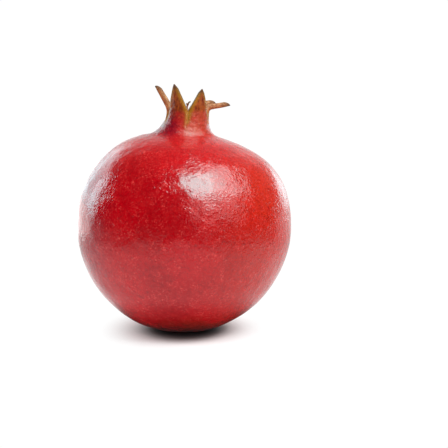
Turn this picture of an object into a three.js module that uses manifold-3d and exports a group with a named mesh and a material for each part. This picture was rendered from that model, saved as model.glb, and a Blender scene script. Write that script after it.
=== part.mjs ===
// A whole pomegranate, as picked, standing on its stalk end with its crown up.
// It has three grown parts: the fruit, whose leathery rind runs on into the neck and the six sepals
// of the crown, the tuft of dried stamens inside the crown, and the woody scar of the stalk underneath.
// Millimetres, +Z up. The origin is the middle of the fruit's width, on the surface it rests on.
// Azimuth 0 is the front (-Y) and 90 degrees is the right (+X).
import * as THREE from "three";
import { mergeVertices } from "three/addons/utils/BufferGeometryUtils.js";
import Module from "manifold-3d";

const { Vector2, Vector3, MathUtils } = THREE;
const { degToRad, lerp, smoothstep } = MathUtils;

// Body: two half ovals that meet at the widest place, cut off flat at z = 0
const BODY_RADIUS = 48;
const WIDEST_Z = 48;
const LOWER_HALF_HEIGHT = 49;
const UPPER_HALF_HEIGHT = 41;
const UPPER_FULLNESS = 2.2; // 2 would be an ellipse, more gives fuller shoulders
const SHOULDER_SLANT = 0.045; // how much the left shoulder rises and the right one falls, per mm

// Neck: it leaves the body where the body's radius has shrunk to SHOULDER_RADIUS
const SHOULDER_RADIUS = 16.5;
const NECK_RADIUS = 9.3;
const NECK_TOP_Z = 98.3;
const NECK_WALL = 2.4;
const NECK_LEAN = 2.2; // how far the top of the neck stands to the right of the body's middle
const LEAN_FROM_Z = 86;
const SHOULDER_PULL = 4.5; // lengths of the two handles of the curve from shoulder to neck
const NECK_PULL = 7.7;
const NECK_FLARE = 1;

// Hollow of the crown, as radius and depth below the top of the neck
const CUP_STEPS = [
  { radius: 7.1, depth: 2.2 },
  { radius: 7.3, depth: 4.8 },
  { radius: 6.7, depth: 6.9 },
  { radius: 4.6, depth: 7.7 },
];
const CUP_DEPTH = 7.9;

// Hollow round the stalk's scar, in the middle of the flat spot
const SCAR_HOLLOW_RADIUS = 3.9;
const SCAR_HOLLOW_CEILING = 2.5;

// Sepals of the crown, clockwise seen from below: where each stands, how far it rises straight from
// the neck, the corner that it then bends round, and its tip, as radii from the neck's axis and
// heights from the neck's top. A dried sepal has a blunter and thicker tip, narrows sooner and is
// curled up more. With a taper above 1 the sides of a sepal bulge out.
const SEPALS = [
  { azimuth: -98, rise: 2.5, bend: [12.0, 5.5], tip: [14.8, 11.0], dryness: "dry" },
  { azimuth: -37, rise: 3.0, bend: [9.5, 8.0], tip: [10.0, 12.6], dryness: "fresh" },
  { azimuth: 41, rise: 2.6, bend: [9.9, 6.6], tip: [10.0, 10.4], dryness: "fresh" },
  { azimuth: 102, rise: 1.0, bend: [13.5, 0.6], tip: [19.2, 2.1], dryness: "dry" },
  { azimuth: 138, rise: 1.2, bend: [12.8, 1.2], tip: [18.3, 1.8], dryness: "dry" },
  { azimuth: 222, rise: 2.4, bend: [9.8, 5.0], tip: [8.6, 7.4], dryness: "drying" },
];
const SEPAL_FORMS = {
  fresh: { tipWidthShare: 0.09, tipThickness: 1, curl: 1, taper: 1.5 },
  drying: { tipWidthShare: 0.16, tipThickness: 1.4, curl: 1.2, taper: 1.2 },
  dry: { tipWidthShare: 0.3, tipThickness: 2.2, curl: 1.6, taper: 0.6 },
};
const SEPAL_LEAN_OUT = 0.3;
const TIP_ROUNDING = 0.6; // what is left of the width and thickness at the very tip
const MARGIN_THINNING = 0.35;

// Stamens: rings of dried filaments on a disc that lies on the floor of the cup
const FLOOR_GAP = 0.35;
const DISC_RADIUS = 5.9;
const DISC_THICKNESS = 0.9;
const STAMEN_RINGS = [
  { count: 22, rootRadius: 5.1, tipRadius: 5.2, height: 5.4 },
  { count: 16, rootRadius: 3.8, tipRadius: 3.9, height: 6.1 },
  { count: 9, rootRadius: 2.3, tipRadius: 2.2, height: 6.7 },
];
const FILAMENT_RADIUS = 0.36;
const ANTHER_RADIUS = 0.62;
const ANTHER_STRETCH = 1.5;
const STYLE = { radius: 0.45, height: 10.2, stigmaRadius: 0.7 };

// Stalk scar
const SCAR_RADIUS = 3.0;
const SCAR_LOWEST_Z = 0.5;
const SCAR_TOP_Z = 2.1;

// Fineness of the meshes
const COLUMNS_PER_SEPAL = 12;
const BODY_RINGS = 26;
const NECK_RINGS = 8;
const SEPAL_ROWS = 8;
const FILAMENT_STEPS = 2;

const FULL_TURN = 2 * Math.PI;

// The same draws on every run (mulberry32)
function seededRandom(seed) {
  let state = seed;
  return () => {
    state = (state + 0x6d2b79f5) | 0;
    let mixed = Math.imul(state ^ (state >>> 15), 1 | state);
    mixed = (mixed + Math.imul(mixed ^ (mixed >>> 7), 61 | mixed)) ^ mixed;
    return ((mixed ^ (mixed >>> 14)) >>> 0) / 4294967296;
  };
}

// Unit vector away from the axis at an azimuth, and the one at right angles to it, level
const outward = (azimuth) => new Vector3(Math.sin(azimuth), -Math.cos(azimuth), 0);
const sideways = (azimuth) => new Vector3(Math.cos(azimuth), Math.sin(azimuth), 0);

const leanAt = (z) => NECK_LEAN * smoothstep(z, LEAN_FROM_Z, NECK_TOP_Z);

// The shoulders slant a little, and the slant dies out up the neck
function slantAt(x, z) {
  return -SHOULDER_SLANT * x * smoothstep(z, 74, 85) * (1 - smoothstep(z, 86, 94));
}

// The fruit isn't quite round. The swelling dies out towards the flat spot and the neck.
function roundness(azimuth, z) {
  const half = z < WIDEST_Z ? LOWER_HALF_HEIGHT : UPPER_HALF_HEIGHT;
  const girth = Math.max(0, 1 - ((z - WIDEST_Z) / half) ** 2);
  const twofold = 0.006 * Math.cos(2 * azimuth - 0.9);
  const threefold = 0.006 * Math.cos(3 * azimuth + 0.6);
  const fivefold = 0.007 * Math.cos(5 * azimuth - 1.2);
  return 1 + girth * (twofold + threefold + fivefold);
}

// A point of the fruit from its place on the profile and its azimuth
function fruitPoint({ x: radius, y: z }, azimuth) {
  const point = outward(azimuth).multiplyScalar(radius * roundness(azimuth, z));
  return point.add(new Vector3(leanAt(z), 0, z + slantAt(point.x, z)));
}

// Collects points and faces of one closed surface. Rings run with growing azimuth, and a strip is
// laid between two rings in the order that the profile is drawn: out from the axis, then upwards.
class Surface {
  points = [];
  faces = [];

  add(point) {
    return this.points.push(point) - 1;
  }

  ring(points) {
    return points.map((point) => this.add(point));
  }

  quad(a, b, c, d) {
    this.faces.push(a, b, c, a, c, d);
  }

  strip(first, second, closed = true) {
    const last = closed ? first.length : first.length - 1;
    for (let i = 0; i < last; i++) {
      const next = (i + 1) % first.length;
      this.quad(first[i], first[next], second[next], second[i]);
    }
  }

  fan(centre, ring, facingDown) {
    const hub = this.add(centre);
    ring.forEach((corner, i) => {
      const next = ring[(i + 1) % ring.length];
      this.faces.push(...(facingDown ? [hub, next, corner] : [hub, corner, next]));
    });
  }

  geometry() {
    const made = new THREE.BufferGeometry().setFromPoints(this.points);
    made.setIndex(this.faces);
    made.computeVertexNormals();
    return made;
  }
}

// Azimuths of the mesh's columns: evenly spread from notch to notch of the crown
function sepalSectors() {
  const middles = SEPALS.map((sepal) => degToRad(sepal.azimuth));
  const count = middles.length;
  const notchAfter = middles.map((middle, i) => {
    const next = i + 1 < count ? middles[i + 1] : middles[0] + FULL_TURN;
    return (middle + next) / 2;
  });
  return SEPALS.map((sepal, i) => ({
    sepal,
    middle: middles[i],
    from: i > 0 ? notchAfter[i - 1] : notchAfter[count - 1] - FULL_TURN,
    to: notchAfter[i],
    firstColumn: i * COLUMNS_PER_SEPAL,
  }));
}

function columnAzimuths(sectors) {
  return sectors.flatMap(({ from, to }) =>
    Array.from({ length: COLUMNS_PER_SEPAL }, (_, i) => lerp(from, to, i / COLUMNS_PER_SEPAL)),
  );
}

// Outer profile, from the rim of the flat spot to the top of the neck
function bodyProfile() {
  const flatAngle = -Math.asin(WIDEST_Z / LOWER_HALF_HEIGHT);
  const shoulderAngle = Math.acos((SHOULDER_RADIUS / BODY_RADIUS) ** (UPPER_FULLNESS / 2));
  const profile = [];
  for (let i = 0; i <= BODY_RINGS; i++) {
    const angle = lerp(flatAngle, shoulderAngle, i / BODY_RINGS);
    const upper = angle > 0;
    const power = upper ? 2 / UPPER_FULLNESS : 1;
    const rise = Math.abs(Math.sin(angle)) ** power;
    const z = WIDEST_Z + (upper ? UPPER_HALF_HEIGHT * rise : -LOWER_HALF_HEIGHT * rise);
    profile.push(new Vector2(BODY_RADIUS * Math.cos(angle) ** power, z));
  }
  profile[0].y = 0;
  const shoulder = profile[BODY_RINGS];
  const slope = shoulder
    .clone()
    .sub(profile[BODY_RINGS - 1])
    .setLength(SHOULDER_PULL);
  const neck = new THREE.CubicBezierCurve(
    shoulder,
    shoulder.clone().add(slope),
    new Vector2(NECK_RADIUS + NECK_FLARE, NECK_TOP_Z - NECK_PULL),
    new Vector2(NECK_RADIUS, NECK_TOP_Z),
  );
  return profile.concat(neck.getPoints(NECK_RINGS).slice(1));
}

// One sepal: its outer and inner faces rise from the columns of the neck's rim, from notch to notch
function addSepal(surface, { sepal, middle, firstColumn }, azimuths, outerRim, innerRim) {
  const columns = Array.from(
    { length: COLUMNS_PER_SEPAL + 1 },
    (_, i) => (firstColumn + i) % azimuths.length,
  );
  const out = outward(middle);
  const side = sideways(middle);
  const axis = new Vector3(leanAt(NECK_TOP_Z), 0, NECK_TOP_Z);
  const spine = new THREE.CubicBezierCurve(
    new Vector2(NECK_RADIUS, 0),
    new Vector2(NECK_RADIUS + SEPAL_LEAN_OUT, sepal.rise),
    new Vector2(...sepal.bend),
    new Vector2(...sepal.tip),
  );
  const form = SEPAL_FORMS[sepal.dryness];
  const outerRows = [columns.map((column) => outerRim[column])];
  const innerRows = [columns.map((column) => innerRim[column])];

  for (let row = 1; row <= SEPAL_ROWS; row++) {
    const along = row / SEPAL_ROWS;
    const closing = lerp(1, TIP_ROUNDING, smoothstep(along, 0.85, 1));
    const width = lerp(1, form.tipWidthShare, along ** form.taper) * closing;
    const middleThickness = lerp(NECK_WALL, form.tipThickness, along ** 2) * closing;
    const curl = lerp(1, form.curl, smoothstep(along, 0.2, 0.9));
    const centre = spine.getPoint(along);
    const slope = spine.getTangent(along);
    const normal = out.clone().multiplyScalar(slope.y).add(new Vector3(0, 0, -slope.x));
    const outerRow = [];
    const innerRow = [];
    columns.forEach((column, i) => {
      const rim = surface.points[outerRim[column]].clone().sub(axis);
      const sag = (NECK_RADIUS - rim.dot(out)) * width ** 2 * curl;
      const point = axis
        .clone()
        .addScaledVector(out, centre.x)
        .add(new Vector3(0, 0, centre.y))
        .addScaledVector(normal, -sag)
        .addScaledVector(side, rim.dot(side) * width);
      const across = Math.abs((2 * i) / COLUMNS_PER_SEPAL - 1);
      const thinning = 1 - MARGIN_THINNING * across ** 3 * smoothstep(along, 0, 0.3);
      const turn = Math.atan(Math.tan(Math.atan2(rim.dot(side), rim.dot(out)) * width) * curl);
      const inwards = normal
        .clone()
        .multiplyScalar(-Math.cos(turn))
        .addScaledVector(side, -Math.sin(turn));
      outerRow.push(surface.add(point));
      innerRow.push(
        surface.add(point.clone().addScaledVector(inwards, middleThickness * thinning)),
      );
    });
    outerRows.push(outerRow);
    innerRows.push(innerRow);
  }

  for (let row = 0; row < SEPAL_ROWS; row++) {
    const [outerA, outerB] = [outerRows[row], outerRows[row + 1]];
    const [innerA, innerB] = [innerRows[row], innerRows[row + 1]];
    const last = COLUMNS_PER_SEPAL;
    surface.strip(outerA, outerB, false);
    surface.strip(innerB, innerA, false);
    surface.quad(outerA[last], innerA[last], innerB[last], outerB[last]);
    surface.quad(innerA[0], outerA[0], outerB[0], innerB[0]);
  }
  surface.strip(outerRows[SEPAL_ROWS], innerRows[SEPAL_ROWS], false);
}

// Rind, neck, crown and the hollow of the crown, as one closed surface
function fruitGeometry() {
  const surface = new Surface();
  const sectors = sepalSectors();
  const azimuths = columnAzimuths(sectors);
  const ringAt = (radius, z) =>
    surface.ring(azimuths.map((azimuth) => fruitPoint(new Vector2(radius, z), azimuth)));

  const hollow = [
    ringAt(SCAR_HOLLOW_RADIUS - 1.2, SCAR_HOLLOW_CEILING),
    ringAt(SCAR_HOLLOW_RADIUS - 0.4, SCAR_HOLLOW_CEILING - 0.9),
    ringAt(SCAR_HOLLOW_RADIUS, 0),
  ];
  surface.fan(new Vector3(0, 0, SCAR_HOLLOW_CEILING), hollow[0], true);
  const outside = [...hollow, ...bodyProfile().map(({ x, y }) => ringAt(x, y))];
  outside.slice(1).forEach((ring, i) => surface.strip(outside[i], ring));

  const outerRim = outside.at(-1);
  const innerRim = ringAt(NECK_RADIUS - NECK_WALL, NECK_TOP_Z);
  sectors.forEach((sector) => addSepal(surface, sector, azimuths, outerRim, innerRim));

  const inside = [
    innerRim,
    ...CUP_STEPS.map(({ radius, depth }) => ringAt(radius, NECK_TOP_Z - depth)),
  ];
  inside.slice(1).forEach((ring, i) => surface.strip(inside[i], ring));
  const floorZ = NECK_TOP_Z - CUP_DEPTH;
  surface.fan(new Vector3(leanAt(floorZ), 0, floorZ), inside.at(-1), false);
  return surface.geometry();
}

// A geometry as a manifold-3d solid, and back
function solidFrom(geometry) {
  const bare = geometry.clone();
  bare.deleteAttribute("normal");
  bare.deleteAttribute("uv");
  const merged = mergeVertices(bare, 1e-4);
  return new wasm.Manifold(
    new wasm.Mesh({
      numProp: 3,
      vertProperties: merged.getAttribute("position").array,
      triVerts: new Uint32Array(merged.index.array),
    }),
  );
}

function geometryFrom(solid) {
  const { vertProperties, triVerts } = solid.getMesh();
  const made = new THREE.BufferGeometry();
  made.setAttribute("position", new THREE.BufferAttribute(vertProperties, 3));
  made.setIndex(new THREE.BufferAttribute(triVerts, 1));
  made.computeVertexNormals();
  return made;
}

// A dried filament from the disc up to its anther, bent a little on the way
function stamenGeometries(root, tip, bend) {
  const path = new THREE.QuadraticBezierCurve3(root, bend, tip);
  const section = new THREE.Shape(
    [0, 1, 2].map((corner) => {
      const angle = (corner * FULL_TURN) / 3;
      return new Vector2(Math.cos(angle), Math.sin(angle)).multiplyScalar(FILAMENT_RADIUS);
    }),
  );
  const filament = new THREE.ExtrudeGeometry(section, {
    steps: FILAMENT_STEPS,
    extrudePath: path,
  });
  const anther = new THREE.IcosahedronGeometry(ANTHER_RADIUS);
  anther.scale(1, 1, ANTHER_STRETCH);
  anther.translate(tip.x, tip.y, tip.z);
  return [filament, anther];
}

function styleGeometries(floorZ) {
  const middle = new Vector3(leanAt(floorZ), 0, floorZ);
  const top = new Vector3(leanAt(floorZ + STYLE.height), 0, floorZ + STYLE.height);
  const stem = new THREE.ExtrudeGeometry(
    new THREE.Shape(
      Array.from({ length: 6 }, (_, corner) => {
        const angle = (corner * FULL_TURN) / 6;
        return new Vector2(Math.cos(angle), Math.sin(angle)).multiplyScalar(STYLE.radius);
      }),
    ),
    { steps: 2, extrudePath: new THREE.LineCurve3(middle, top) },
  );
  const stigma = new THREE.IcosahedronGeometry(STYLE.stigmaRadius, 1);
  stigma.translate(top.x, top.y, top.z);
  return [stem, stigma];
}

// Disc, filaments, anthers and style, joined into one body
function stamenTuftGeometry() {
  const random = seededRandom(11);
  const spread = (amount) => (random() - 0.5) * 2 * amount;
  const discZ = NECK_TOP_Z - CUP_DEPTH + FLOOR_GAP;
  const rootZ = discZ + DISC_THICKNESS / 2;
  const disc = new THREE.LatheGeometry(
    [
      new Vector2(0, discZ),
      new Vector2(DISC_RADIUS - 1.9, discZ + 0.1),
      new Vector2(DISC_RADIUS, discZ + 0.8),
      new Vector2(DISC_RADIUS - 0.2, discZ + 0.6 + DISC_THICKNESS),
      new Vector2(DISC_RADIUS - 2, discZ + DISC_THICKNESS),
      new Vector2(0, discZ + DISC_THICKNESS),
    ],
    24,
  );
  disc.rotateX(Math.PI / 2);
  disc.translate(leanAt(discZ), 0, 0);

  const place = (radius, around, up) =>
    outward(around)
      .multiplyScalar(radius)
      .add(new Vector3(leanAt(rootZ + up), 0, rootZ + up));

  const pieces = [disc, ...styleGeometries(rootZ)];
  STAMEN_RINGS.forEach(({ count, rootRadius, tipRadius, height }, ringNumber) => {
    for (let i = 0; i < count; i++) {
      const azimuth = ((i + 0.5 * ringNumber) * FULL_TURN) / count + spread(0.09);
      const rise = height + spread(0.7);
      const root = place(rootRadius, azimuth, 0);
      const bend = place(rootRadius + 0.5, azimuth, rise * 0.55);
      const tip = place(tipRadius + spread(0.35), azimuth + spread(0.25), rise);
      pieces.push(...stamenGeometries(root, tip, bend));
    }
  });
  const joined = pieces.map(solidFrom).reduce((whole, piece) => whole.add(piece));
  return geometryFrom(joined);
}

// The broken end of the stalk: a low woody button with a sunken pith, out of round
function stalkScarGeometry() {
  const surface = new Surface();
  const azimuths = Array.from({ length: 20 }, (_, i) => (i * FULL_TURN) / 20);
  const ringAt = (radius, z) =>
    surface.ring(
      azimuths.map((azimuth) => {
        const uneven = 1 + 0.05 * Math.cos(3 * azimuth) + 0.04 * Math.cos(5 * azimuth + 1);
        return outward(azimuth)
          .multiplyScalar(radius * uneven)
          .setZ(z);
      }),
    );
  const rings = [
    ringAt(SCAR_RADIUS * 0.3, SCAR_LOWEST_Z + 0.5),
    ringAt(SCAR_RADIUS * 0.5, SCAR_LOWEST_Z),
    ringAt(SCAR_RADIUS * 0.8, SCAR_LOWEST_Z + 0.1),
    ringAt(SCAR_RADIUS * 0.92, SCAR_LOWEST_Z + 0.6),
    ringAt(SCAR_RADIUS * 0.72, SCAR_TOP_Z),
  ];
  surface.fan(new Vector3(0, 0, SCAR_LOWEST_Z + 0.6), rings[0], true);
  rings.slice(1).forEach((ring, i) => surface.strip(rings[i], ring));
  surface.fan(new Vector3(0, 0, SCAR_TOP_Z), rings.at(-1), false);
  return surface.geometry();
}

const wasm = await Module();
wasm.setup();

const rind = new THREE.MeshStandardMaterial({ color: 0xb3121b, roughness: 0.38 });
const dryStamen = new THREE.MeshStandardMaterial({ color: 0xa9713c, roughness: 0.8 });
const bark = new THREE.MeshStandardMaterial({ color: 0x6b4a2c, roughness: 0.85 });

const fruit = new THREE.Mesh(fruitGeometry(), rind);
fruit.name = "fruit";
const stamenTuft = new THREE.Mesh(stamenTuftGeometry(), dryStamen);
stamenTuft.name = "stamen_tuft";
const stalkScar = new THREE.Mesh(stalkScarGeometry(), bark);
stalkScar.name = "stalk_scar";

const pomegranate = new THREE.Group();
pomegranate.add(fruit, stamenTuft, stalkScar);

// The uneven body's widest points are put evenly about the origin
const reach = new THREE.Box3().setFromObject(pomegranate);
pomegranate.position.set(-(reach.min.x + reach.max.x) / 2, -(reach.min.y + reach.max.y) / 2, 0);

export default pomegranate;
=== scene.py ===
import math
import random

import bpy
import numpy as np
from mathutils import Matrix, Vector, noise


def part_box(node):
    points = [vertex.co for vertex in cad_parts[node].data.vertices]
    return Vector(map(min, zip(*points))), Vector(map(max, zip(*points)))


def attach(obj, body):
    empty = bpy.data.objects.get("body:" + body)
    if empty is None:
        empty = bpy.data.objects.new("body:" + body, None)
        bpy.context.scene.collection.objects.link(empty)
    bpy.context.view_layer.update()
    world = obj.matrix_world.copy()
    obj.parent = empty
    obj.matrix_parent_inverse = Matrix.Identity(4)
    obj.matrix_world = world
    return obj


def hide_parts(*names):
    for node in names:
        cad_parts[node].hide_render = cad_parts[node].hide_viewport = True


MM = 0.001

# Body: two half ovals that meet at the widest place, cut off flat at z = 0
BODY_RADIUS = 48
WIDEST_Z = 48
LOWER_HALF_HEIGHT = 49
UPPER_HALF_HEIGHT = 41
UPPER_FULLNESS = 2.2
# How far it is out of round: waves round it, their height as a share of the radius, and phase
WAVES = [(2, 0.006, -0.9), (3, 0.006, 0.6), (5, 0.007, -1.2)]
# The shoulders are higher at the left. The slant grows over one range of z and fades over another.
SHOULDER_SLANT = 0.045
SLANT_GROWS = (74, 85)
SLANT_FADES = (86, 94)

# Neck
SHOULDER_RADIUS = 16.5
NECK_RADIUS = 9.3
NECK_TOP_Z = 98.3
NECK_WALL = 2.4
NECK_LEAN = 2.2
LEAN_FROM_Z = 86
SHOULDER_PULL = 4.5
NECK_PULL = 7.7
NECK_FLARE = 1

# Creases that run down the neck from the notches between the sepals. The margin on one side of
# a crease stands a little proud of it.
CREASE_LENGTH = 7.5
CREASE_DEPTH = 0.42
CREASE_WIDTH = 0.38
CREASE_MARGIN_HEIGHT = 0.22
CREASE_MARGIN_WIDTH = 0.6
CREASE_MARGIN_OFFSET = 0.8

# How far from the middle of a sepal, in radians, its tan ends on the neck, and how far down
TAN_ENDS = (0.36, 0.62)
TAN_LENGTH = 5

# Hollow of the crown, as radius and depth below the top of the neck
CUP_STEPS = [(6.9, 0), (7.1, 2.2), (7.3, 4.8), (6.7, 6.9), (4.6, 7.7)]
CUP_DEPTH = 7.9

# Hollow round the stalk's scar and the flat spot round it, as radius and z
SCAR_HOLLOW_CEILING = 2.5
SCAR_HOLLOW_STEPS = [(1.7, 2.5), (2.9, 2.35), (3.45, 1.8), (3.75, 1), (3.9, 0.5), (4.2, 0.08)]
FLAT_SPOT_STEPS = [(4.8, 0), (6.5, 0), (8.3, 0)]

# Sepals: azimuth, straight rise, corner (radius, height) and tip (radius, height)
SEPALS = [
    {"azimuth": -98, "rise": 2.5, "bend": (12.0, 5.5), "tip": (14.8, 11.0), "dryness": "dry"},
    {"azimuth": -37, "rise": 3.0, "bend": (9.5, 8.0), "tip": (10.0, 12.6), "dryness": "fresh"},
    {"azimuth": 41, "rise": 2.6, "bend": (9.9, 6.6), "tip": (10.0, 10.4), "dryness": "fresh"},
    {"azimuth": 102, "rise": 1.0, "bend": (13.5, 0.6), "tip": (19.2, 2.1), "dryness": "dry"},
    {"azimuth": 138, "rise": 1.2, "bend": (12.8, 1.2), "tip": (18.3, 1.8), "dryness": "dry"},
    {"azimuth": 222, "rise": 2.4, "bend": (9.8, 5.0), "tip": (8.6, 7.4), "dryness": "drying"},
]
# A dried sepal is blunt, thick and curled, and tan instead of red and gold
SEPAL_FORMS = {
    "fresh": {"tip_width": 0.09, "tip_thickness": 1, "curl": 1, "taper": 1.5, "tan": 0.0},
    "drying": {"tip_width": 0.16, "tip_thickness": 1.4, "curl": 1.2, "taper": 1.2, "tan": 0.55},
    "dry": {"tip_width": 0.3, "tip_thickness": 2.2, "curl": 1.6, "taper": 0.6, "tan": 1.0},
}
SEPAL_LEAN_OUT = 0.3
TIP_ROUNDING = 0.6
TIP_NARROWS_FROM = 0.85  # shares of a sepal's length where its tip gets narrower, and then closes
TIP_CLOSES_FROM = 0.94
TIP_CLOSES_AT = 1.003
ROW_CROWDING = 1.25  # crowds the rows of a sepal towards its tip
SLOPE_STEP = 0.004
MARGIN_ROUNDING = 0.7
RIB_HEIGHT = 0.13
RIB_WIDTH = 0.16  # as a share of the sepal's half width
FOLD_HEIGHT = 0.07
MARGIN_SIGHT = 6.0  # how far from a margin or notch the mark that tells of it reaches

# Stamens
FLOOR_GAP = 0.35
DISC_RADIUS = 5.9
DISC_THICKNESS = 0.9
STAMEN_COUNT = 150
TURN_BETWEEN_STAMENS = 2.399963  # the golden angle, which crowds them evenly
ROOTS_FROM = 1.5
ROOTS_TO = 5.4
INNER_STAMEN_HEIGHT = 6.9
OUTER_STAMEN_HEIGHT = 5.2
STAMEN_RADII = (0.13, 0.19)
STYLE_HEIGHT = 10.2
STYLE_RADII = (0.55, 0.3)
TALL_STAMEN_HEIGHT = 11.0
TALL_STAMEN_RADIUS = 0.19

# Stalk scar
SCAR_RADIUS = 3.0
SCAR_LOWEST_Z = 0.5
SCAR_TOP_Z = 2.1
CRACKS = [0.4, 1.7, 2.5, 3.9, 5.2]  # their azimuths in radians
CRACK_WIDTH = 0.07
CRACK_DEPTH = 0.14
PITH_DEPTH = 0.7

# Lumps, dimples and pebbles of the rind: their height, size and own part of the noise
RELIEF = [(0.26, 15, (0, 0, 0)), (0.085, 4.2, (7, 0, 0)), (0.045, 1.9, (0, 9, 0))]
RELIEF_GROWS = (0.3, 4)
NECK_RELIEF = 0.5  # as a share of the body's
NECK_CREASES_GROW = (85, 90)
NECK_CREASES_FADE = (97, 101)
NECK_CREASE_HEIGHT = 0.16
NECK_CREASE_SIZES = (3.2, 3.2, 1.3)
SEPAL_RELIEF = 0.45  # as a share of the body's

# How far from the top of the neck the roots of the sepals are evened out, how much and how often
ROOT_REACH = (0.8, 2.6)
ROOT_SOFTNESS = 0.6
ROOT_ROUNDS = 24

# Fineness of the meshes
COLUMNS_PER_SEPAL = 64
BODY_ROWS = 110
NECK_ROWS = 30
SEPAL_ROWS = 24
CUP_ROWS = 16
STALK_COLUMNS = 96

# What each point of the rind's mesh knows about its place, for the material
MARKS = ["along", "from_margin", "inner", "tan"]

# Camera, from the photograph: its pixels, the pixel column of the fruit's axis and the pixel row
# of the point that the fruit rests on
PHOTO_PX = 448
MM_PER_PX = 0.4476
AXIS_PX = 183.25
BASE_PX = 329.5
CAMERA_ELEVATION = math.radians(8)
CAMERA_DISTANCE = 0.9
SENSOR_MM = 36

# Light: how far away the softboxes are, in metres, how fast the white behind the fruit fades to
# the sides, and the even light on matt surfaces
SOFTBOX_DISTANCE = 1.1
SKY_FALLOFF = 3.2
MATT_LIGHT = 0.36

# Floor: how much less the painted shadow reaches along each axis, and the distances in metres over
# which it gets lighter and then fades into the white
SHADOW_STRETCH = (1.6, 1, 1)
SHADOW_DARK = (0.0135, 0.038)
SHADOW_FADE = (0.021, 0.0645)
FLOOR_RADIUS = 8.0
MIRRORED_FLOOR_HEIGHT = 0.0015

# Gloss of the rind, and what tints it where the skin has little wax
RIND_IOR = 1.46
WAXLESS_SHINE = (0.7, 0.3, 0.26, 1)

FULL_TURN = 2 * math.pi


def lerp(low, high, share):
    return low + (high - low) * share


def smoothstep(value, low, high):
    share = np.clip((value - low) / (high - low), 0, 1)
    return share * share * (3 - 2 * share)


def outward(azimuth):
    return np.stack([np.sin(azimuth), -np.cos(azimuth), np.zeros_like(azimuth)], -1)


def sideways(azimuth):
    return np.array([math.cos(azimuth), math.sin(azimuth), 0])


def lean_at(z):
    return NECK_LEAN * smoothstep(z, LEAN_FROM_Z, NECK_TOP_Z)


def slant_at(x, z):
    return -SHOULDER_SLANT * x * smoothstep(z, *SLANT_GROWS) * (1 - smoothstep(z, *SLANT_FADES))


def roundness(azimuth, z):
    half = LOWER_HALF_HEIGHT if z < WIDEST_Z else UPPER_HALF_HEIGHT
    girth = max(0, 1 - ((z - WIDEST_Z) / half) ** 2)
    uneven = sum(height * np.cos(count * azimuth + phase) for count, height, phase in WAVES)
    return 1 + girth * uneven


# Shortest way round from one azimuth to another, in radians
def turn_between(start, end):
    return (end - start + math.pi) % FULL_TURN - math.pi


def crease_at(azimuth, z):
    height = float(smoothstep(z, NECK_TOP_Z - CREASE_LENGTH, NECK_TOP_Z - 0.5))
    if height == 0:
        return np.zeros_like(azimuth)
    total = np.zeros_like(azimuth)
    for sector in sepal_sectors():
        across = turn_between(sector["to"], azimuth) * NECK_RADIUS
        from_margin = across + CREASE_MARGIN_OFFSET
        groove = -CREASE_DEPTH * np.exp(-((across / CREASE_WIDTH) ** 2))
        margin = CREASE_MARGIN_HEIGHT * np.exp(-((from_margin / CREASE_MARGIN_WIDTH) ** 2))
        total += height * (groove + margin)
    return total


# Distance on the neck to the nearest notch's line, as a share of MARGIN_SIGHT
def from_notch(azimuth):
    nearest = np.full_like(azimuth, MARGIN_SIGHT)
    for sector in sepal_sectors():
        nearest = np.minimum(nearest, np.abs(turn_between(sector["to"], azimuth)) * NECK_RADIUS)
    return nearest / MARGIN_SIGHT


# How tan the rind is above the neck's middle, from the sepal that it runs on into
def tan_share(azimuth, z):
    height = float(smoothstep(z, NECK_TOP_Z - TAN_LENGTH, NECK_TOP_Z))
    total = np.zeros_like(azimuth)
    for sector in sepal_sectors():
        inside = 1 - smoothstep(np.abs(turn_between(sector["middle"], azimuth)), *TAN_ENDS)
        total = np.maximum(total, inside * SEPAL_FORMS[sector["sepal"]["dryness"]]["tan"])
    return total * height


# Points of the fruit at one height and radius, all the way round
def fruit_ring(radius, z, azimuths):
    reach = radius * roundness(azimuths, z)
    points = outward(azimuths) * reach[:, None]
    points[:, 2] = z + slant_at(points[:, 0], z)
    points[:, 0] += lean_at(z)
    return points


def sepal_sectors():
    middles = [math.radians(sepal["azimuth"]) for sepal in SEPALS]
    following = middles[1:] + [middles[0] + FULL_TURN]
    notches = [(middle + after) / 2 for middle, after in zip(middles, following)]
    before = [notches[-1] - FULL_TURN] + notches[:-1]
    return [
        {"sepal": SEPALS[i], "middle": middles[i], "from": before[i], "to": notches[i]}
        for i in range(len(SEPALS))
    ]


def column_azimuths(sectors):
    share = np.arange(COLUMNS_PER_SEPAL) / COLUMNS_PER_SEPAL
    return np.concatenate([lerp(s["from"], s["to"], share) for s in sectors])


def cubic_bezier(corners, share):
    a, b, c, d = (np.array(corner, float) for corner in corners)
    t = np.asarray(share, float)[..., None]
    return a * (1 - t) ** 3 + 3 * b * t * (1 - t) ** 2 + 3 * c * t**2 * (1 - t) + d * t**3


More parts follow.
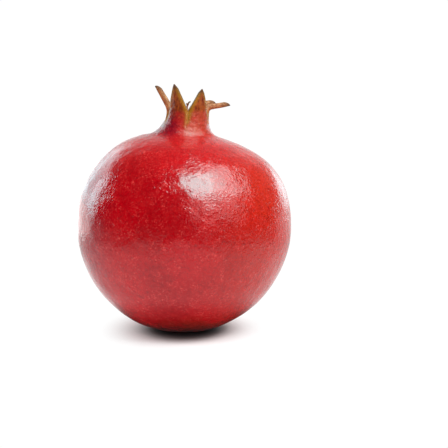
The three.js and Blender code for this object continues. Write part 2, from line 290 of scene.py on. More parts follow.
# Outer profile as (radius, z), from the rim of the flat spot to the top of the neck
def body_profile():
    flat_angle = -math.asin(WIDEST_Z / LOWER_HALF_HEIGHT)
    shoulder_angle = math.acos((SHOULDER_RADIUS / BODY_RADIUS) ** (UPPER_FULLNESS / 2))
    profile = []
    for angle in np.linspace(flat_angle, shoulder_angle, BODY_ROWS + 1):
        power = 2 / UPPER_FULLNESS if angle > 0 else 1
        rise = abs(math.sin(angle)) ** power
        z = WIDEST_Z + (UPPER_HALF_HEIGHT * rise if angle > 0 else -LOWER_HALF_HEIGHT * rise)
        profile.append((BODY_RADIUS * math.cos(angle) ** power, z))
    profile[0] = (profile[0][0], 0)
    shoulder = np.array(profile[-1])
    slope = shoulder - np.array(profile[-2])
    slope *= SHOULDER_PULL / np.linalg.norm(slope)
    corners = [
        shoulder,
        shoulder + slope,
        (NECK_RADIUS + NECK_FLARE, NECK_TOP_Z - NECK_PULL),
        (NECK_RADIUS, NECK_TOP_Z),
    ]
    neck = cubic_bezier(corners, np.arange(1, NECK_ROWS + 1) / NECK_ROWS)
    return profile + [tuple(point) for point in neck]


class Surface:
    """The points, marks and faces of one closed surface"""

    def __init__(self):
        self.points = []
        self.marks = []
        self.quads = []
        self.triangles = []

    def ring(self, points, **marks):
        first = sum(len(group) for group in self.points)
        self.points.append(np.asarray(points, float))
        columns = [np.broadcast_to(marks.get(name, 0.0), len(points)) for name in MARKS]
        self.marks.append(np.stack(columns, -1))
        return np.arange(first, first + len(points))

    def strip(self, first, second, closed=True):
        a, b = np.roll(first, -1), np.roll(second, -1)
        quads = np.stack([first, a, b, second], -1)
        self.quads.append(quads if closed else quads[:-1])

    def fan(self, centre, ring, facing_down, **marks):
        hub = np.full(len(ring), self.ring([centre], **marks)[0])
        after = np.roll(ring, -1)
        corners = [hub, after, ring] if facing_down else [hub, ring, after]
        self.triangles.append(np.stack(corners, -1))

    def mesh(self, name, shift):
        points = (np.concatenate(self.points) + shift) * MM
        faces = np.concatenate(self.quads).tolist() + np.concatenate(self.triangles).tolist()
        mesh = bpy.data.meshes.new(name)
        mesh.from_pydata(points.tolist(), [], faces)
        marks = np.concatenate(self.marks)
        for column, mark in enumerate(MARKS):
            attribute = mesh.attributes.new(mark, "FLOAT", "POINT")
            attribute.data.foreach_set("value", np.ascontiguousarray(marks[:, column]))
        mesh.shade_smooth()
        return mesh


# One sepal. Its outer and inner faces rise from the neck's rim, from notch to notch, and meet in
# a rounded margin and tip.
def add_sepal(surface, sector, number, outer_rim, inner_rim):
    sepal = sector["sepal"]
    total = len(outer_rim)
    columns = (number * COLUMNS_PER_SEPAL + np.arange(COLUMNS_PER_SEPAL + 1)) % total
    out = outward(np.array(sector["middle"]))
    side = sideways(sector["middle"])
    up = np.array([0, 0, 1.0])
    axis = np.array([lean_at(NECK_TOP_Z), 0, NECK_TOP_Z])
    corners = [
        (NECK_RADIUS, 0),
        (NECK_RADIUS + SEPAL_LEAN_OUT, sepal["rise"]),
        sepal["bend"],
        sepal["tip"],
    ]
    form = SEPAL_FORMS[sepal["dryness"]]
    half_width = NECK_RADIUS * (sector["to"] - sector["from"]) / 2
    rim = np.concatenate(surface.points)[outer_rim[columns]] - axis
    rim_out, rim_side = rim @ out, rim @ side
    across = np.linspace(-1, 1, COLUMNS_PER_SEPAL + 1)
    outer_rows, inner_rows = [outer_rim[columns]], [inner_rim[columns]]

    for row in range(1, SEPAL_ROWS + 1):
        along = 1 - (1 - row / SEPAL_ROWS) ** ROW_CROWDING
        narrowing = lerp(1, TIP_ROUNDING, float(smoothstep(along, TIP_NARROWS_FROM, 1)))
        past = max(0.0, along - TIP_CLOSES_FROM) / (TIP_CLOSES_AT - TIP_CLOSES_FROM)
        closing = math.sqrt(1 - past**2)
        width = lerp(1, form["tip_width"], along ** form["taper"])
        width *= narrowing * lerp(0.5, 1, closing)
        thickness = lerp(NECK_WALL, form["tip_thickness"], along**2)
        thickness *= narrowing * lerp(0.08, 1, closing)
        curl = lerp(1, form["curl"], float(smoothstep(along, 0.2, 0.9)))
        centre = cubic_bezier(corners, along)
        before, after = along - SLOPE_STEP, along + SLOPE_STEP
        slope = cubic_bezier(corners, after) - cubic_bezier(corners, before)
        slope /= np.linalg.norm(slope)
        normal = out * slope[1] - up * slope[0]
        sag = (NECK_RADIUS - rim_out) * width**2 * curl
        points = axis + out * centre[0] + up * centre[1] + side * (rim_side * width)[:, None]
        points = points - normal * sag[:, None]
        turn = np.arctan(np.tan(np.arctan2(rim_side, rim_out) * width) * curl)
        inwards = -normal * np.cos(turn)[:, None] - side * np.sin(turn)[:, None]
        rounding = 1 - np.sqrt(np.clip(1 - np.abs(across) ** 5, 0, 1))
        rounded = 1 - MARGIN_ROUNDING * rounding * float(smoothstep(along, 0, 0.12))
        middle = points + inwards * (thickness / 2)
        half = (thickness / 2 * rounded)[:, None]
        swell = math.sin(math.pi * min(1, along * 1.1))
        rib = RIB_HEIGHT * np.exp(-((across / RIB_WIDTH) ** 2)) * swell
        folds = FOLD_HEIGHT * np.sin(across * 9 + 4 * along + number) * swell
        outer = middle - inwards * (half + (rib + folds * rounded)[:, None])
        inner = middle + inwards * half
        from_margin = np.minimum((1 - np.abs(across)) * half_width * width / MARGIN_SIGHT, 1)
        marks = {"along": along, "from_margin": from_margin, "tan": form["tan"]}
        outer_rows.append(surface.ring(outer, **marks))
        inner_rows.append(surface.ring(inner, inner=1, **marks))

    for lower in range(SEPAL_ROWS):
        outer_a, outer_b = outer_rows[lower], outer_rows[lower + 1]
        inner_a, inner_b = inner_rows[lower], inner_rows[lower + 1]
        surface.strip(outer_a, outer_b, closed=False)
        surface.strip(inner_b, inner_a, closed=False)
        left = [inner_a[0], outer_a[0], outer_b[0], inner_b[0]]
        right = [outer_a[-1], inner_a[-1], inner_b[-1], outer_b[-1]]
        surface.quads.append(np.array([left, right]))
    surface.strip(outer_rows[-1], inner_rows[-1], closed=False)


def smooth_cup_steps():
    depths = [depth for _, depth in CUP_STEPS]
    radii = [radius for radius, _ in CUP_STEPS]
    steps = np.arange(1, CUP_ROWS + 1) / CUP_ROWS
    length = np.linspace(0, 1, len(CUP_STEPS))
    return list(zip(np.interp(steps, length, radii), np.interp(steps, length, depths)))


def rind_surface():
    surface = Surface()
    sectors = sepal_sectors()
    azimuths = column_azimuths(sectors)

    def ring_at(radius, z, **marks):
        return surface.ring(fruit_ring(radius, z, azimuths), **marks)

    def body_ring(radius, z):
        points = fruit_ring(radius, z, azimuths)
        points += outward(azimuths) * crease_at(azimuths, z)[:, None]
        marks = {"from_margin": from_notch(azimuths), "tan": tan_share(azimuths, z)}
        return surface.ring(points, **marks)

    rings = [ring_at(radius, z) for radius, z in SCAR_HOLLOW_STEPS + FLAT_SPOT_STEPS]
    surface.fan([0, 0, SCAR_HOLLOW_CEILING], rings[0], True)
    rings += [body_ring(radius, z) for radius, z in body_profile()]
    for lower, upper in zip(rings, rings[1:]):
        surface.strip(lower, upper)

    inner_rim = ring_at(NECK_RADIUS - NECK_WALL, NECK_TOP_Z, inner=1)
    for number, sector in enumerate(sectors):
        add_sepal(surface, sector, number, rings[-1], inner_rim)
    inside = [inner_rim]
    for radius, depth in smooth_cup_steps():
        inside.append(ring_at(radius, NECK_TOP_Z - depth, inner=1))
    for upper, lower in zip(inside, inside[1:]):
        surface.strip(upper, lower)
    floor_z = NECK_TOP_Z - CUP_DEPTH
    surface.fan([lean_at(floor_z), 0, floor_z], inside[-1], False, inner=1)
    return surface


# The shift that centres the fruit on the origin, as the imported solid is
def centring_shift(surface):
    points = np.concatenate(surface.points)
    low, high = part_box("fruit")
    wanted = np.array(low + high)[:2] / 2 / MM
    found = (points.max(0) + points.min(0))[:2] / 2
    return np.array([*(wanted - found), 0])


# Lumps and dimples of the rind, along the mesh's normals. The flat spot stays flat.
def add_relief(mesh):
    count = len(mesh.vertices)
    points = np.zeros(count * 3, np.float32)
    normals = np.zeros(count * 3, np.float32)
    mesh.vertices.foreach_get("co", points)
    mesh.vertices.foreach_get("normal", normals)
    points = points.reshape(-1, 3).astype(float)
    normals = normals.reshape(-1, 3).astype(float)
    along = np.zeros(count, np.float32)
    mesh.attributes["along"].data.foreach_get("value", along)
    height = np.zeros(count)
    for index, point in enumerate(points / MM):
        spot = Vector(point)
        for rise, size, own_part in RELIEF:
            height[index] += rise * noise.noise(spot / size + Vector(own_part))
    z = points[:, 2] / MM
    neck = smoothstep(z, *NECK_CREASES_GROW)
    squeezed = points / MM / np.array(NECK_CREASE_SIZES)
    creases = np.array([noise.noise(Vector(point)) for point in squeezed])
    creases *= NECK_CREASE_HEIGHT * neck * (1 - smoothstep(z, *NECK_CREASES_FADE))
    height = height * (1 - NECK_RELIEF * neck) + creases
    height *= smoothstep(z, *RELIEF_GROWS) * lerp(1, SEPAL_RELIEF, smoothstep(along, 0, 0.3))
    points += normals * (height * MM)[:, None]
    mesh.vertices.foreach_set("co", points.astype(np.float32).ravel())
    mesh.update()


# Evens out the bend where the neck runs on into the outer faces of the sepals
def soften_sepal_roots(mesh):
    count = len(mesh.vertices)
    points = np.zeros(count * 3, np.float32)
    mesh.vertices.foreach_get("co", points)
    points = points.reshape(-1, 3).astype(float)
    marks = {}
    for mark in MARKS:
        marks[mark] = np.zeros(count, np.float32)
        mesh.attributes[mark].data.foreach_get("value", marks[mark])
    ends = np.zeros(len(mesh.edges) * 2, np.int32)
    mesh.edges.foreach_get("vertices", ends)
    first, second = ends.reshape(-1, 2).T
    nearness = 1 - smoothstep(np.abs(points[:, 2] / MM - NECK_TOP_Z), *ROOT_REACH)
    weight = nearness * (marks["inner"] < 0.5) * smoothstep(marks["from_margin"], 0.0, 0.15)
    neighbours = np.bincount(first, minlength=count) + np.bincount(second, minlength=count)
    for _ in range(ROOT_ROUNDS):
        total = np.zeros_like(points)
        np.add.at(total, first, points[second])
        np.add.at(total, second, points[first])
        points += (total / neighbours[:, None] - points) * (ROOT_SOFTNESS * weight)[:, None]
    mesh.vertices.foreach_set("co", points.astype(np.float32).ravel())
    mesh.update()


class Tangle:
    """Points and faces of many small closed forms, joined into one mesh"""

    def __init__(self):
        self.points = []
        self.faces = []
        self.slots = []

    def tube(self, path, radii, sides, slot):
        first = len(self.points)
        path = [Vector(point) for point in path]
        for index, point in enumerate(path):
            ahead = path[min(index + 1, len(path) - 1)] - path[max(index - 1, 0)]
            right = ahead.cross(Vector((0.3, 1, 0.1))).normalized()
            front = ahead.cross(right).normalized()
            for side in range(sides):
                turn = FULL_TURN * side / sides
                offset = right * math.cos(turn) + front * math.sin(turn)
                self.points.append(point + offset * radii[index])
        self.skin(first, len(path), sides, slot)

    # The faces between rings of points, and over the two ends
    def skin(self, first, rings, sides, slot):
        for ring in range(rings - 1):
            low = first + ring * sides
            for side in range(sides):
                after = (side + 1) % sides
                self.face([low + side, low + after, low + sides + after, low + sides + side], slot)
        last = first + (rings - 1) * sides
        self.face([first + side for side in reversed(range(sides))], slot)
        self.face([last + side for side in range(sides)], slot)

    def blob(self, centre, long_axis, length, width, slot, sides=7, rows=5):
        centre, axis = Vector(centre), Vector(long_axis).normalized()
        path, radii = [], []
        end = math.pi / 2 * 0.92
        for row in range(rows + 1):
            angle = lerp(-end, end, row / rows)
            path.append(centre + axis * (length / 2 * math.sin(angle)))
            radii.append(width / 2 * math.cos(angle))
        self.tube(path, radii, sides, slot)

    def face(self, corners, slot):
        self.faces.append(corners)
        self.slots.append(slot)

    def mesh(self, name, shift):
        points = (np.array(self.points, float) + shift) * MM
        mesh = bpy.data.meshes.new(name)
        mesh.from_pydata(points.tolist(), [], self.faces)
        mesh.polygons.foreach_set("material_index", self.slots)
        mesh.shade_smooth()
        return mesh


def quadratic_bezier(start, bend, end, steps):
    start, bend, end = Vector(start), Vector(bend), Vector(end)
    path = []
    for step in range(steps + 1):
        t = step / steps
        path.append(start * (1 - t) ** 2 + bend * 2 * t * (1 - t) + end * t**2)
    return path


# The dried stamens, crowded on their disc, with the style in the middle
def stamens_mesh(shift):
    draw = random.Random(5)
    tangle = Tangle()
    filament, anther, tissue = range(3)
    disc_z = NECK_TOP_Z - CUP_DEPTH + FLOOR_GAP
    root_z = disc_z + DISC_THICKNESS * 0.6

    def place(radius, azimuth, rise):
        x = radius * math.sin(azimuth) + float(lean_at(root_z + rise))
        return (x, -radius * math.cos(azimuth), root_z + rise)

    add_disc(tangle, disc_z, tissue)
    for number in range(STAMEN_COUNT):
        azimuth = number * TURN_BETWEEN_STAMENS + draw.uniform(-0.2, 0.2)
        root_radius = lerp(ROOTS_FROM, ROOTS_TO, math.sqrt((number + 0.5) / STAMEN_COUNT))
        rise = lerp(INNER_STAMEN_HEIGHT, OUTER_STAMEN_HEIGHT, root_radius / ROOTS_TO)
        rise += draw.uniform(-1.0, 0.9)
        root = place(root_radius, azimuth, 0)
        bend_radius = root_radius + draw.uniform(0.0, 0.8)
        bend = place(bend_radius, azimuth + draw.uniform(-0.1, 0.1), rise * 0.55)
        tip_radius = min(5.5, max(1.1, root_radius + draw.uniform(-0.9, 0.5)))
        tip = place(tip_radius, azimuth + draw.uniform(-0.2, 0.2), rise)
        path = quadratic_bezier(root, bend, tip, 6)
        thick = draw.uniform(*STAMEN_RADII)
        radii = [lerp(thick * 1.25, thick * 0.7, step / 6) for step in range(7)]
        tangle.tube(path, radii, 5, filament)
        add_anther(tangle, draw, path[-1], path[-1] - path[-2], anther)
    add_tall_stamen(tangle, place, filament, anther)
    add_style(tangle, place, filament, tissue)
    return tangle.mesh("stamens", shift)


# An anther is two lobes side by side across the end of its filament
def add_anther(tangle, draw, tip, heading, slot):
    tilt = Vector((draw.uniform(-1, 1), draw.uniform(-1, 1), draw.uniform(-0.5, 0.5)))
    long_axis = heading.normalized() + tilt * 0.7
    across = long_axis.cross(Vector((draw.uniform(-1, 1), draw.uniform(-1, 1), 0.2))).normalized()
    length = draw.uniform(0.95, 1.35)
    width = draw.uniform(0.42, 0.56)
    for lobe in (-1, 1):
        tangle.blob(tip + across * (lobe * width * 0.38), long_axis, length, width, slot)


# One stamen shows between the two front sepals
def add_tall_stamen(tangle, place, slot, anther_slot):
    tip = Vector(place(0.9, 0.8, TALL_STAMEN_HEIGHT))
    path = quadratic_bezier(place(1.6, -0.9, 0), place(0.8, -1.2, TALL_STAMEN_HEIGHT * 0.7), tip, 8)
    tangle.tube(path, [TALL_STAMEN_RADIUS] * len(path), 6, slot)
    for lobe in (-0.12, 0.12):
        tangle.blob(tip + Vector((0, lobe, lobe)), (1, 0, 0.55), 1.6, 0.5, anther_slot)


def add_style(tangle, place, slot, stigma_slot):
    heights = np.linspace(0, STYLE_HEIGHT, 9)
    path = [place(0.35 * math.sin(rise * 0.5), 1.2, rise) for rise in heights]
    radii = [lerp(*STYLE_RADII, rise / STYLE_HEIGHT) for rise in heights]
    tangle.tube(path, radii, 8, slot)
    tangle.blob(path[-1], (0.2, 0, 1), 0.9, 1.2, stigma_slot, sides=10, rows=6)


def add_disc(tangle, disc_z, slot):
    centre_x = float(lean_at(disc_z))
    profile = [
        (0.6, 0),
        (DISC_RADIUS - 1.9, 0.1),
        (DISC_RADIUS, 0.8),
        (DISC_RADIUS - 0.2, 0.6 + DISC_THICKNESS),
        (DISC_RADIUS - 0.9, DISC_THICKNESS + 0.3),
        (DISC_RADIUS - 2, DISC_THICKNESS),
        (0.6, DISC_THICKNESS),
    ]
    sides = 48
    first = len(tangle.points)
    for radius, rise in profile:
        for side in range(sides):
            turn = FULL_TURN * side / sides
            wave = 0.12 * math.sin(7 * turn) * (radius > 4)
            x = centre_x + radius * math.sin(turn)
            tangle.points.append(Vector((x, -radius * math.cos(turn), disc_z + rise + wave * 0.5)))
    tangle.skin(first, len(profile), sides, slot)


# The woody end of the stalk: a low button with a sunken pith and cracks that run outwards
def stalk_surface():
    surface = Surface()
    azimuths = np.arange(STALK_COLUMNS) * FULL_TURN / STALK_COLUMNS
    uneven = 1 + 0.05 * np.cos(3 * azimuths) + 0.04 * np.cos(5 * azimuths + 1)
    profile = [
        (0.12, 0.62), (0.22, 0.5), (0.32, 0.42), (0.4, 0.12), (0.5, 0.0), (0.62, 0.04), (0.74, 0.0),
        (0.84, 0.1), (0.91, 0.28), (0.93, 0.6), (0.9, 0.95), (0.82, 1.3), (0.72, 1.6),
    ]
    cracks = np.zeros_like(azimuths)
    for crack in CRACKS:
        cracks += np.exp(-((turn_between(crack, azimuths) / CRACK_WIDTH) ** 2))
    rings = []
    for share, rise in profile:
        fibres = 0.035 * np.sin(17 * azimuths + 9 * share) + 0.02 * np.sin(31 * azimuths)
        flat = float(share < 0.9 and rise < 0.6)
        reach = SCAR_RADIUS * share * uneven * (1 + fibres * (share > 0.8))
        points = outward(azimuths) * reach[:, None]
        points[:, 2] = SCAR_LOWEST_Z + rise + flat * (CRACK_DEPTH * cracks + np.abs(fibres) * 1.3)
        rings.append(surface.ring(points))
    surface.fan([0, 0, SCAR_LOWEST_Z + PITH_DEPTH], rings[0], True)
    for lower, upper in zip(rings, rings[1:]):
        surface.strip(lower, upper)
    surface.fan([0, 0, SCAR_TOP_Z], rings[-1], False)
    return surface


# Materials, and their shades in sRGB, 0 to 255

SHADES = {
    "crimson": (150, 0, 10),
    "bright_crimson": (168, 0, 13),
    "warm_low": (172, 32, 12),
    "warm_high": (182, 48, 26),
    # painted sheen for the shoulder
    "shoulder": (166, 34, 34),
    # painted shade for the left side of the body
    "painted_shade_wine": (124, 8, 30),
    "mottle": (176, 26, 26),
    "dark_mottle": (112, 0, 8),
    "line": (110, 0, 10),
    "fleck": (196, 52, 50),
    "speck": (200, 72, 64),
    "plum": (112, 4, 26),
    "coral": (164, 60, 42),
    "neck_gold": (150, 106, 40),
    "base_bloom": (118, 30, 12),
    "scuff": (104, 62, 40),
    "leaf": (148, 70, 20),
    "leaf_streak": (100, 34, 12),
    "leaf_blush": (146, 70, 28),
    "leaf_gold": (146, 100, 22),
    "tan": (166, 92, 52),
    "tan_streak": (138, 70, 38),
    "brown": (88, 56, 30),
    "margin_line": (76, 64, 20),
    "tip": (84, 54, 34),
    "dry_tip": (52, 40, 32),
    "inner": (170, 124, 82),
    "inner_streak": (128, 78, 50),
    "inner_brown": (80, 50, 30),
    "filament": (206, 140, 108),
    "filament_patch": (168, 96, 60),
    "anther": (132, 88, 48),
    "anther_patch": (70, 48, 34),
    "tissue": (170, 112, 84),
    "tissue_patch": (120, 66, 44),
    "wood": (146, 110, 74),
    "wood_patch": (78, 54, 36),
    # painted shadow on the floor next to the fruit
    "floor_shadow": (96, 88, 90),
    "floor": (243, 243, 243),
}


def shade(name):
    """A named shade as the linear colour that shaders take"""
    parts = []
    for value in SHADES[name]:
        share = value / 255
        parts.append(share / 12.92 if share <= 0.04045 else ((share + 0.055) / 1.055) ** 2.4)
    return (*parts, 1)


class NodeTree:
    """A node tree, with a short call for each kind of node"""

    def __init__(self, tree):
        self.tree = tree

    def node(self, kind, **settings):
        node = self.tree.nodes.new(kind)
        for name, value in settings.items():
            setattr(node, name, value)
        return node

    def feed(self, socket, value):
        if isinstance(value, bpy.types.NodeSocket):
            self.tree.links.new(value, socket)
        else:
            socket.default_value = value

    def fill(self, node, values):
        for name, value in values.items():
            self.feed(node.inputs[name], value)

    def maths(self, operation, first, second=0.0):
        node = self.node("ShaderNodeMath", operation=operation)
        self.feed(node.inputs[0], first)
        self.feed(node.inputs[1], second)
        return node.outputs[0]

    def times(self, first, second):
        return self.maths("MULTIPLY", first, second)

    def plus(self, first, second):
        return self.maths("ADD", first, second)


class Recipe(NodeTree):
    """A material's node tree, from the point of the object that is being coloured"""

    def __init__(self, name):
        self.material = bpy.data.materials.new(name)
        self.material.use_nodes = True
        super().__init__(self.material.node_tree)
        self.shader = self.tree.nodes["Principled BSDF"]
        self.place = self.node("ShaderNodeTexCoord").outputs["Object"]

    def noise(self, size_mm, detail=2, roughness=0.5, kind="FBM", place=None, distortion=0):
        node = self.node("ShaderNodeTexNoise", noise_type=kind)
        self.fill(node, {"Vector": place or self.place, "Scale": 1 / (size_mm * MM)})
        self.fill(node, {"Detail": detail, "Roughness": roughness, "Distortion": distortion})
        return node.outputs["Fac"]

    # Thin curved lines, 0 on a line and 1 beside it
    def fine_lines(self):
        wave = self.noise(2.2, 3, 0.55, distortion=0.6)
        return self.span(self.maths("ABSOLUTE", self.maths("SUBTRACT", wave, 0.5)), 0.0, 0.028)

    def stretch(self, x, y, z):
        node = self.node("ShaderNodeVectorMath", operation="MULTIPLY")
        self.feed(node.inputs[0], self.place)
        node.inputs[1].default_value = (x, y, z)
        return node.outputs[0]

    def axes(self):
        node = self.node("ShaderNodeSeparateXYZ")
        self.feed(node.inputs[0], self.place)
        return node.outputs[0], node.outputs[1], node.outputs[2]

    def mark(self, name):
        return self.node("ShaderNodeAttribute", attribute_name=name).outputs["Fac"]

    def span(self, value, low, high, to_low=0.0, to_high=1.0, smooth=True):
        kind = "SMOOTHSTEP" if smooth else "LINEAR"
        node = self.node("ShaderNodeMapRange", interpolation_type=kind)
        self.fill(node, {"Value": value, "From Min": low, "From Max": high})
        self.fill(node, {"To Min": to_low, "To Max": to_high})
        return node.outputs["Result"]

    def mix(self, share, first, second):
        node = self.node("ShaderNodeMix", data_type="RGBA")
        self.fill(node, {"Factor": share, "A": first, "B": second})
        return node.outputs["Result"]

    def bump(self, height, depth_mm, before=None):
        node = self.node("ShaderNodeBump")
        self.fill(node, {"Strength": 1, "Distance": depth_mm * MM, "Height": height})
        if before is not None:
            self.feed(node.inputs["Normal"], before)
        return node.outputs["Normal"]

    def emission(self, strength):
        node = self.node("ShaderNodeEmission")
        self.fill(node, {"Color": (1, 1, 1, 1), "Strength": strength})
        return node.outputs["Emission"]

    def finish(self, surface):
        self.feed(self.tree.nodes["Material Output"].inputs["Surface"], surface)
        return self.material

    # A dry, matt surface: one shade with patches of another, and a fine grain
    def finish_dry(self, patches, first, second, roughness, grain, grain_mm):
        skin = self.mix(patches, shade(first), shade(second))
        normal = self.bump(grain, grain_mm)
        self.fill(self.shader, {"Base Color": skin, "Roughness": roughness, "Normal": normal})
        return self.material


# Skin of the body: crimson, warmer to the right and above, clouded and finely speckled, with a
# painted sheen on the shoulder and painted shade on the left side
def skin_colour(recipe):
    x, _, z = recipe.axes()
    clouds = recipe.span(recipe.noise(24, 3), 0.38, 0.64)
    skin = recipe.mix(clouds, shade("crimson"), shade("bright_crimson"))
    warm = recipe.times(recipe.span(x, -0.002, 0.046), 0.75)
    high = recipe.span(z, 0.045, 0.068)
    skin = recipe.mix(warm, skin, recipe.mix(high, shade("warm_low"), shade("warm_high")))
    # Painted sheen: a band on the shoulder is painted pinker, for light mirrored from above
    shoulder = recipe.times(recipe.span(z, 0.07, 0.088), 0.55)
    skin = recipe.mix(shoulder, skin, shade("shoulder"))
    # Painted shade: the left side, away from the key light, is painted darker and more purple
    shaded = recipe.times(recipe.span(x, -0.026, -0.043), 0.6)
    skin = recipe.mix(shaded, skin, shade("painted_shade_wine"))
    mottle = recipe.times(recipe.span(recipe.noise(3.2, 5, 0.72), 0.46, 0.7), 0.5)
    skin = recipe.mix(mottle, skin, shade("mottle"))
    dark = recipe.times(recipe.span(recipe.noise(2.0, 4, 0.7), 0.5, 0.72), 0.5)
    skin = recipe.mix(dark, skin, shade("dark_mottle"))
    lined = recipe.times(recipe.span(recipe.fine_lines(), 1, 0), 0.4)
    skin = recipe.mix(lined, skin, shade("line"))
    clusters = recipe.span(recipe.noise(6, 3, 0.6), 0.4, 0.62, 0.15, 0.8)
    flecks = recipe.span(recipe.noise(1.3, 4, 0.75, distortion=0.8), 0.5, 0.68)
    skin = recipe.mix(recipe.times(flecks, clusters), skin, shade("fleck"))
    specks = recipe.times(recipe.span(recipe.noise(0.9, 2, 0.6), 0.6, 0.72), clusters)
    return recipe.mix(specks, skin, shade("speck"))


# The neck is plum at the left and coral at the front, and gold runs down from the notches
def neck_colour(recipe, skin):
    x, _, z = recipe.axes()
    patches = recipe.noise(2.0, 4, 0.65)
    on_neck = recipe.span(z, 0.086, 0.091)
    plum = recipe.times(recipe.span(x, 0.0, -0.006), on_neck)
    plum = recipe.times(plum, recipe.span(patches, 0.3, 0.6, 0.25, 1))
    skin = recipe.mix(plum, skin, shade("plum"))
    coral = recipe.times(recipe.span(x, -0.003, 0.003), on_neck)
    coral = recipe.times(coral, recipe.span(patches, 0.3, 0.6, 0.4, 1))
    skin = recipe.mix(coral, skin, shade("coral"))
    height = recipe.plus(z, recipe.span(patches, 0.25, 0.75, -0.002, 0.002, smooth=False))
    near = recipe.span(recipe.mark("from_margin"), 0.02, 0.3, 1, 0)
    gold = recipe.times(near, recipe.span(height, 0.0905, 0.097))
    return recipe.mix(gold, skin, shade("neck_gold"))


# The resting end has a brownish bloom, and is scuffed brown where it touches
def base_colour(recipe, skin):
    _, _, z = recipe.axes()
    patches = recipe.span(recipe.noise(9, 3), 0.42, 0.6, 0.1, 0.7)
    bloom = recipe.times(recipe.span(z, 0.015, 0.004), patches)
    skin = recipe.mix(bloom, skin, shade("base_bloom"))
    worn = recipe.span(recipe.noise(1.3, 4), 0.35, 0.6, 0.4, 0.9)
    scuff = recipe.times(recipe.span(z, 0.0014, 0.0002), worn)
    return recipe.mix(scuff, skin, shade("scuff"))


# Sepals: red at the foot, olive gold along the margins, brown towards a dark tip. The dry ones are
# tan all over, and the inner faces are paler.
def sepal_colour(recipe, skin):
    _, _, z = recipe.axes()
    along, margin = recipe.mark("along"), recipe.mark("from_margin")
    tan, inner = recipe.mark("tan"), recipe.mark("inner")
    streaks = recipe.noise(1.0, 4, 0.65, place=recipe.stretch(1, 1, 0.3))
    uneven = recipe.span(recipe.noise(2.2, 3, 0.6), 0.25, 0.75, -0.14, 0.14, smooth=False)
    wander = recipe.plus(along, uneven)
    leaf = recipe.mix(recipe.span(streaks, 0.36, 0.62), shade("leaf"), shade("leaf_streak"))
    rosy = recipe.span(recipe.noise(1.7, 3), 0.5, 0.64, 0, 0.6)
    leaf = recipe.mix(rosy, leaf, shade("leaf_blush"))
    gold = recipe.span(margin, 0.42, 0.12)
    leaf = recipe.mix(recipe.times(gold, 0.8), leaf, shade("leaf_gold"))
    dry = recipe.mix(recipe.span(streaks, 0.35, 0.65), shade("tan"), shade("tan_streak"))
    leaf = recipe.mix(tan, leaf, dry)
    brown = recipe.span(wander, 0.6, 1.0, 0, 0.75)
    leaf = recipe.mix(brown, leaf, shade("brown"))
    line = recipe.span(margin, 0.06, 0.01, 0, 0.8)
    line = recipe.times(line, recipe.span(along, 0.02, 0.1))
    line = recipe.times(line, recipe.span(tan, 0, 1, 1, 0.3))
    leaf = recipe.mix(line, leaf, shade("margin_line"))
    dark_end = recipe.plus(along, recipe.times(uneven, 0.75))
    tip = recipe.span(dark_end, 0.86, 0.96, 0, 0.95)
    leaf = recipe.mix(tip, leaf, recipe.mix(tan, shade("tip"), shade("dry_tip")))
    start = recipe.times(wander, 0.9)
    start = recipe.plus(start, recipe.span(z, 0.092, 0.106, 0, 0.8, smooth=False))
    start = recipe.plus(start, recipe.span(margin, 0.45, 0.0, 0, 0.14))
    start = recipe.plus(start, recipe.times(tan, 0.25))
    share = recipe.times(recipe.span(start, 0.08, 0.7), recipe.span(z, 0.0905, 0.0965))
    skin = recipe.mix(share, skin, leaf)
    pale = recipe.mix(recipe.span(streaks, 0.35, 0.7), shade("inner"), shade("inner_streak"))
    pale = recipe.mix(brown, pale, shade("inner_brown"))
    return recipe.mix(recipe.times(inner, 0.9), skin, pale)


# The body's skin is waxy and finely wrinkled. The neck and the sepals have less wax, so they
# mirror less, and in a warmer shade.
def rind_material():
    recipe = Recipe("rind_skin")
    skin = base_colour(recipe, neck_colour(recipe, skin_colour(recipe)))
    recipe.fill(recipe.shader, {"Base Color": sepal_colour(recipe, skin), "IOR": RIND_IOR})

    leafy = recipe.maths("MAXIMUM", recipe.span(recipe.mark("along"), 0, 0.6), recipe.mark("inner"))
    x, _, z = recipe.axes()
    on_neck = recipe.span(z, 0.085, 0.091)
    rough = recipe.span(recipe.noise(1.8, 4), 0.35, 0.7, 0.1, 0.19, smooth=False)
    rough = recipe.plus(rough, recipe.times(leafy, 0.24))
    rough = recipe.plus(rough, recipe.times(recipe.mark("tan"), 0.2))
    rough = recipe.plus(rough, recipe.times(on_neck, 0.06))
    waxless = recipe.maths("MAXIMUM", leafy, recipe.span(recipe.mark("along"), 0, 0.1))
    waxless = recipe.maths("MAXIMUM", waxless, recipe.times(on_neck, 0.8))
    shine = recipe.mix(waxless, (1, 1, 1, 1), WAXLESS_SHINE)
    recipe.fill(recipe.shader, {"Roughness": rough, "Specular Tint": shine})

    crinkled = recipe.times(recipe.span(x, 0.0, 0.016), recipe.span(z, 0.072, 0.06))
    crinkled = recipe.maths("MAXIMUM", crinkled, recipe.span(recipe.noise(11, 2), 0.5, 0.66))
    depth = recipe.span(crinkled, 0, 1, 0.75, 1.7, smooth=False)
    depth = recipe.times(depth, recipe.span(leafy, 0, 1, 1, 0.18))
    wrinkles = recipe.noise(1.15, 2, 0.5, kind="RIDGED_MULTIFRACTAL", distortion=0.5)
    normal = recipe.bump(recipe.times(wrinkles, depth), 0.07)
    normal = recipe.bump(recipe.times(recipe.noise(1.15, 2, 0.5), depth), 0.14, normal)
    normal = recipe.bump(recipe.fine_lines(), 0.006, normal)
    normal = recipe.bump(recipe.noise(4.5, 2, 0.5), 0.26, normal)
    creased = recipe.noise(1.1, 3, 0.6, place=recipe.stretch(0.6, 0.6, 1.2), distortion=0.6)
    normal = recipe.bump(recipe.times(creased, on_neck), 0.26, normal)
    fibres = recipe.noise(0.6, 3, 0.6, place=recipe.stretch(1, 1, 0.25))
    normal = recipe.bump(recipe.times(fibres, leafy), 0.05, normal)
    recipe.fill(recipe.shader, {"Normal": normal})
    return recipe.material


